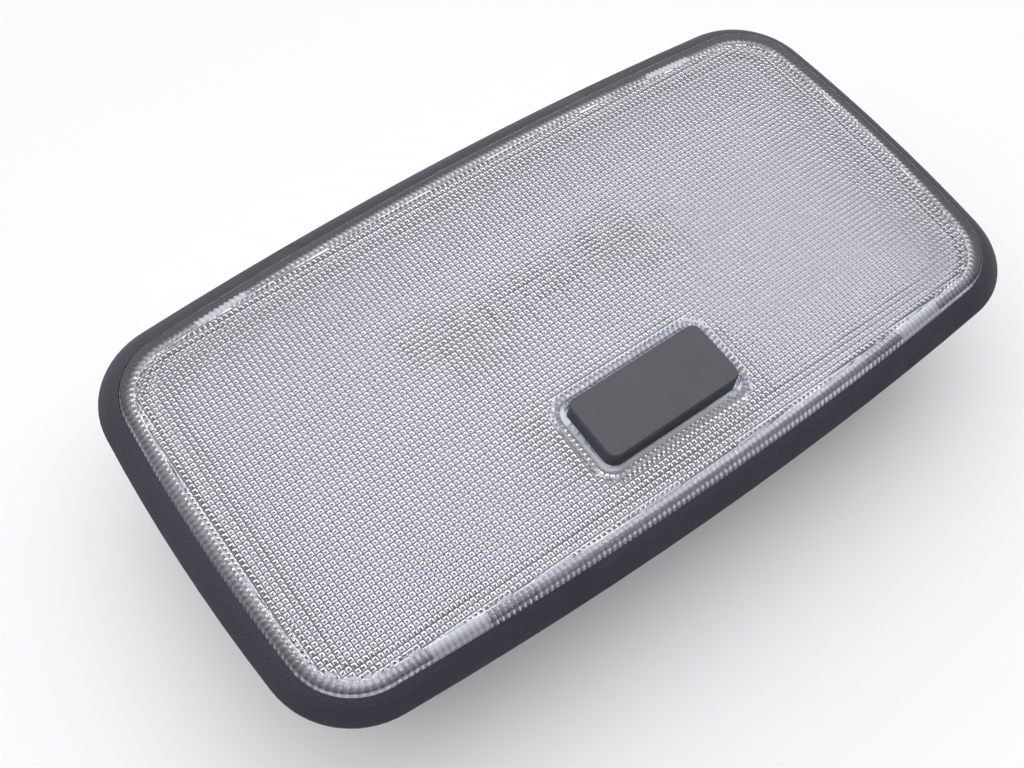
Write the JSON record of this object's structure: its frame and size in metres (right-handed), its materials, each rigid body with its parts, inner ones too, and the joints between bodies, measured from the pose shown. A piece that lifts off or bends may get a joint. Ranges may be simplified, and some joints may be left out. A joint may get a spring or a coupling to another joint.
{
  "type": "rear seat light",
  "caption": "Rectangular interior lamp with bowed sides: a clear prismed lens in a dark frame, a push button in the lens, and a festoon bulb and switch in a moulded back shell.",
  "frame": {"origin": "middle of the plane that the four rear feet stand on, on the middle lines of the frame", "axes": "+X along the length, to the connector end; +Y across, away from the button; +Z out through the lens"},
  "size_m": [0.154, 0.0832, 0.031],
  "materials": {
    "bezel_dark_plastic": "fine moulded grain",
    "clear_polycarbonate": "clear, prismed on its inner face",
    "pale_plastic": "satin",
    "spring_steel": "satin",
    "reflector_sheet": "white stove enamel",
    "bulb_glass": "clear",
    "nickel_plate": "plated",
    "tungsten": "drawn",
    "plated_spring": "nickel-plated bronze",
    "tinned_rivet": "tinned",
    "brass_strip": "rolled",
    "silver_contact": "satin",
    "natural_polyester": "satin",
    "zinc_screw": "plated",
    "cream_plastic": "satin",
    "contact_leaf": "rolled",
    "spring_wire": "drawn",
    "button_plastic": "fine moulded grain"
  },
  "bodies": {
    "lamp": {"bezel": "bezel_dark_plastic", "lens": "clear_polycarbonate", "housing": "pale_plastic", "headliner_clips": "spring_steel", "reflector": "reflector_sheet", "bulb_glass": "bulb_glass", "bulb_caps": "nickel_plate", "bulb_filament": "tungsten", "bulb_contacts": "plated_spring", "contact_rivets": "tinned_rivet", "feed_terminal": "brass_strip", "lamp_terminal": "brass_strip", "door_terminal": "brass_strip", "earth_terminal": "brass_strip", "fixed_contacts": "silver_contact", "switch_base": "natural_polyester", "switch_case": "natural_polyester", "switch_screws": "zinc_screw", "latch_wire": "spring_wire", "latch_leaf": "spring_steel", "return_spring": "spring_wire"},
    "button": {"button_cap": "button_plastic", "plunger": "cream_plastic", "moving_contact": "contact_leaf"}
  },
  "joints": [
    {"name": "button_push", "type": "slide", "parent": "lamp", "child": "button", "axis": [0, 0, -1], "range_m": [0, 0.002], "stiffness_N_per_m": 900, "springref_m": -0.003, "deforming": ["return_spring"]}
  ]
}
